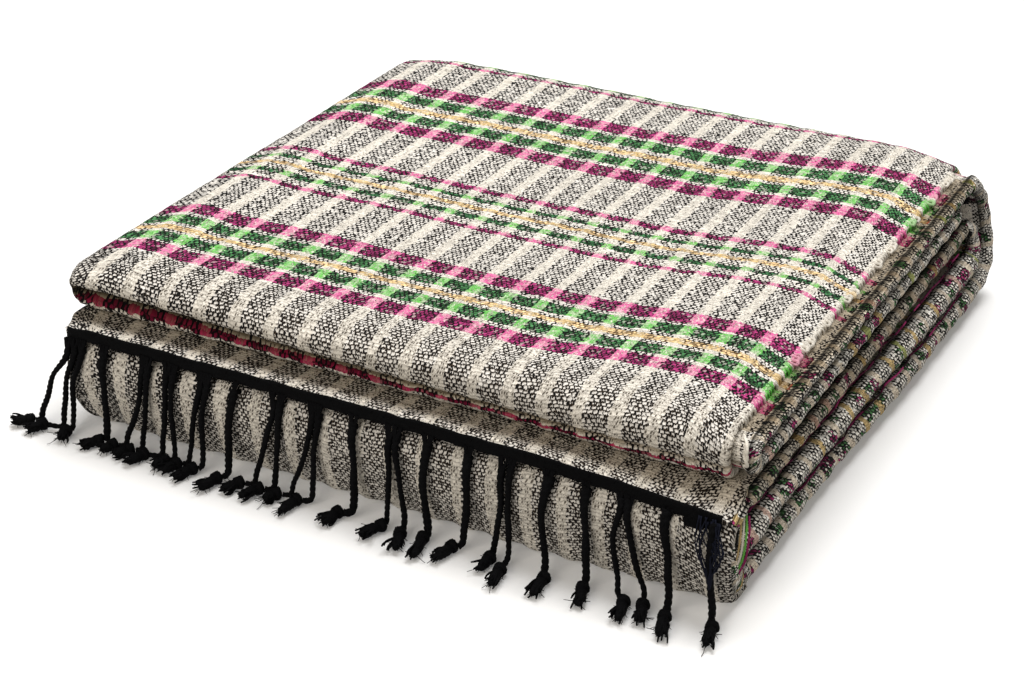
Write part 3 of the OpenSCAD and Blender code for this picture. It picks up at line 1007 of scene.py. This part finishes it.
# the second fringe, shut inside the back of the stack
parts, ends = [], []
rng = np.random.default_rng(5)
run = unit(np.array([58.0, 30.0, 0]))
length = 65.3
for i in range(16):
    start = np.array([-201.4 + i * 24, INNER_END_Y + 5.6, INNER_Z])
    bend = rng.uniform(-1.2, 1.2)
    line = spline([start + np.array([-1, -4.5, 0]), start + run * 8, start + run * 26 + [0, bend, 0.3],
                   start + run * length * 0.68], 6)
    parts.append(tube(resample(line, 1.0), 1.9, 10, 2, 6.5, 0.28, phase=i))
    knot = start + run * (length * 0.7 + 1.5)
    ends.append(brush(knot, knot + run * 10, rng, 3.2))
for name, group in (("inner_cords", parts), ("inner_brushes", ends)):
    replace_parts(bundle(name, group, YARN, "upper_leaf"), "inner_tassels")

# ---------- selvedge loops and carried yarn


def weft_dye(y):
    """Colour of the weft at the free edge of the top ply."""
    phase = float(top_phase(y + bow(202)) - bow(202))
    d = abs((phase + HALF_REPEAT) % (2 * HALF_REPEAT) - HALF_REPEAT)
    return np.array([c for q, _, c in WEFT if q <= d][-1])


def coloured(name, parts, tints, body):
    """Yarns joined into one piece, each with its own colour."""
    ob = bundle(name, parts, EDGE, body)
    each = np.vstack([np.tile((*t, 1.0), (len(part[0]), 1)) for part, t in zip(parts, tints)])
    layer = ob.data.attributes.new("tint", "FLOAT_COLOR", "POINT")
    layer.data.foreach_set("color", each.astype(np.float32).ravel())


# stitches of weft over the free edge of the top ply, with a few slack loops
rng = np.random.default_rng(8)
parts, tints = [], []
for y in np.arange(-184, 170, 3.3) + rng.uniform(-0.5, 0.5, 108):
    tint = weft_dye(y) * rng.uniform(0.6, 0.95)
    x, z = 200.0 + rng.uniform(-0.6, 0.6), TOTAL_H - 3.3 + rng.uniform(-0.25, 0.25)
    r = rng.uniform(0.6, 0.95)
    line = spline([(x - 4.5, y - 1.0, z - 0.6), (x - 1.6, y - 0.3, z + 0.2), (x + 0.9, y + 0.5, z - 0.7),
                   (x + 1.2, y + 1.0, z - 3.2), (x + 0.2, y + 1.3, z - 5.2)], 4)
    parts.append(tube(line, r, 7, 2, 3.5, 0.16))
    tints.append(tint)
for y0, count in ((-112, 3), (-96, 4), (-62, 2), (-30, 4), (20, 2), (42, 3), (84, 3), (118, 4),
                  (150, 4)):
    for i in range(count):
        y = y0 + i * 3.4 + rng.uniform(-0.8, 0.8)
        reach, w = rng.uniform(2.2, 4.0), rng.uniform(1.2, 2.0)
        a = np.linspace(-0.15, 1.15, 9) * math.pi
        line = np.stack([200.2 + reach * np.sin(a), y + w * np.cos(a),
                         TOTAL_H - 3.0 + 0.8 * np.sin(2 * a)], 1)
        parts.append(tube(line, rng.uniform(0.9, 1.3), 7, 2, 4.0, 0.16))
        tints.append((weft_dye(y) * 0.6 + np.array(CREAM) * 0.4) * rng.uniform(0.8, 1.0))
# white loops at the front right corner
for i in range(3):
    z = 96 - 4 * i
    line = spline([(207, -194, z), (210.5, -200 - i * 0.6, z + 0.5), (211.5, -202 + i, z - 4),
                   (208, -196, z - 7)], 5)
    parts.append(tube(line, 0.9, 7, 2, 4.0, 0.2))
    tints.append(np.array(CREAM) * 1.02)
coloured("top_selvedge", parts, tints, "upper_leaf")

# weft yarn carried along the groove between two bands, showing here and there
CARRIED = [(0.42, 0.05, 0.18), (0.18, 0.02, 0.08), (0.10, 0.012, 0.045), (0.03, 0.015, 0.02)]
for name, z, x0, body, y0, y1 in (("carried_yarn_1", 84.0, 211.0, "upper_leaf", -176, 150),
                                  ("carried_yarn_3", 49.6, 211.5, "lower_stack", -188, 150),
                                  ("carried_yarn_4", 24.8, 213.0, "lower_stack", -120, 150)):
    parts, tints = [], []
    y = y0
    while y < y1:
        run = rng.uniform(7, 16)
        along = np.arange(y, y + run, 1.5)
        far = (x0 + 8 * smooth(-150, 160, along) * (1 - smooth(18, 78, z)) - 1.6
               + noise(along, 0, 14, z) * 1.3)
        line = np.stack([far, along, z + 0.5 * noise(along, 3, 8, z)], 1)
        parts.append(tube(line, rng.uniform(0.5, 0.8), 7, 2, 3.5, 0.2, phase=y))
        tints.append(CARRIED[rng.integers(4)])
        y += run
    coloured(name, parts, tints, body)

# the cut edges at the front right corner fan out in curved rows of coloured yarn
parts, tints = [], []
FAN = [CREAM, (0.02, 0.02, 0.02), CREAM, (0.55, 0.07, 0.25), CREAM, (0.02, 0.02, 0.02),
       (0.62, 0.45, 0.22), CREAM, (0.16, 0.5, 0.09), (0.30, 0.03, 0.13)]
for i, tint in enumerate(FAN):
    k = i / (len(FAN) - 1)
    x = 204 + 11.5 * k
    line = spline([(x - 1.0, -206 + 5 * k, 58 - 2 * k), (x + 1.6, -213.0 + 7 * k, 49),
                   (x + 1.2, -215 + 7 * k, 38 - 3 * k), (x - 2.5, -213.5 + 6 * k, 27 - 3 * k),
                   (x - 6, -209 + 6 * k, 18 - 3 * k)], 7)
    parts.append(tube(line, 0.62, 7, 2, 3.5, 0.25, phase=i))
    tints.append(tint)
coloured("corner_fan", parts, tints, "lower_stack")

# ---------- floor and light


def floor():
    g = Graph("pale_floor")
    coord = g.node("ShaderNodeTexCoord").outputs["Object"]
    n = g.noise(coord, 6.0, 3.0)
    colour = g.mix(g.lin(n, 0.3, 0.7), (0.90, 0.90, 0.90), (0.915, 0.915, 0.915))
    mat = g.finish(colour, g.lin(n, 0.3, 0.7, 0.75, 0.85), n, 0.0001, glow=0.1)
    far, z = 6.0 / MM, -0.4
    ob = make_mesh("floor", [(-far, -far, z), (far, -far, z), (far, far, z), (-far, far, z)],
                   [(0, 1, 2, 3)], mat)
    ob.visible_diffuse = False


def area(name, at, target, size, power, colour=(1, 1, 1)):
    light = bpy.data.lights.new(name, "AREA")
    light.energy = power
    light.size = size
    light.color = colour
    ob = bpy.data.objects.new(name, light)
    bpy.context.scene.collection.objects.link(ob)
    ob.location = at
    ob.rotation_euler = (Vector(target) - Vector(at)).to_track_quat("-Z", "Y").to_euler()


floor()
area("key", (0.0, 0.66, 2.4), (0, 0, 0), 1.6, 65)
area("fill", (-0.3, -2.3, 1.3), (0, 0, 0.05), 1.6, 26, (1, 0.94, 0.86))
area("side", (2.2, -0.2, 1.1), (0.2, 0, 0.05), 1.2, 7, (1, 0.96, 0.9))
world = bpy.data.worlds.new("studio")
world.use_nodes = True
background = world.node_tree.nodes["Background"]
background.inputs["Color"].default_value = (1, 0.962, 0.9, 1)
background.inputs["Strength"].default_value = 0.3
bpy.context.scene.world = world
bpy.context.scene.view_settings.view_transform = "Standard"
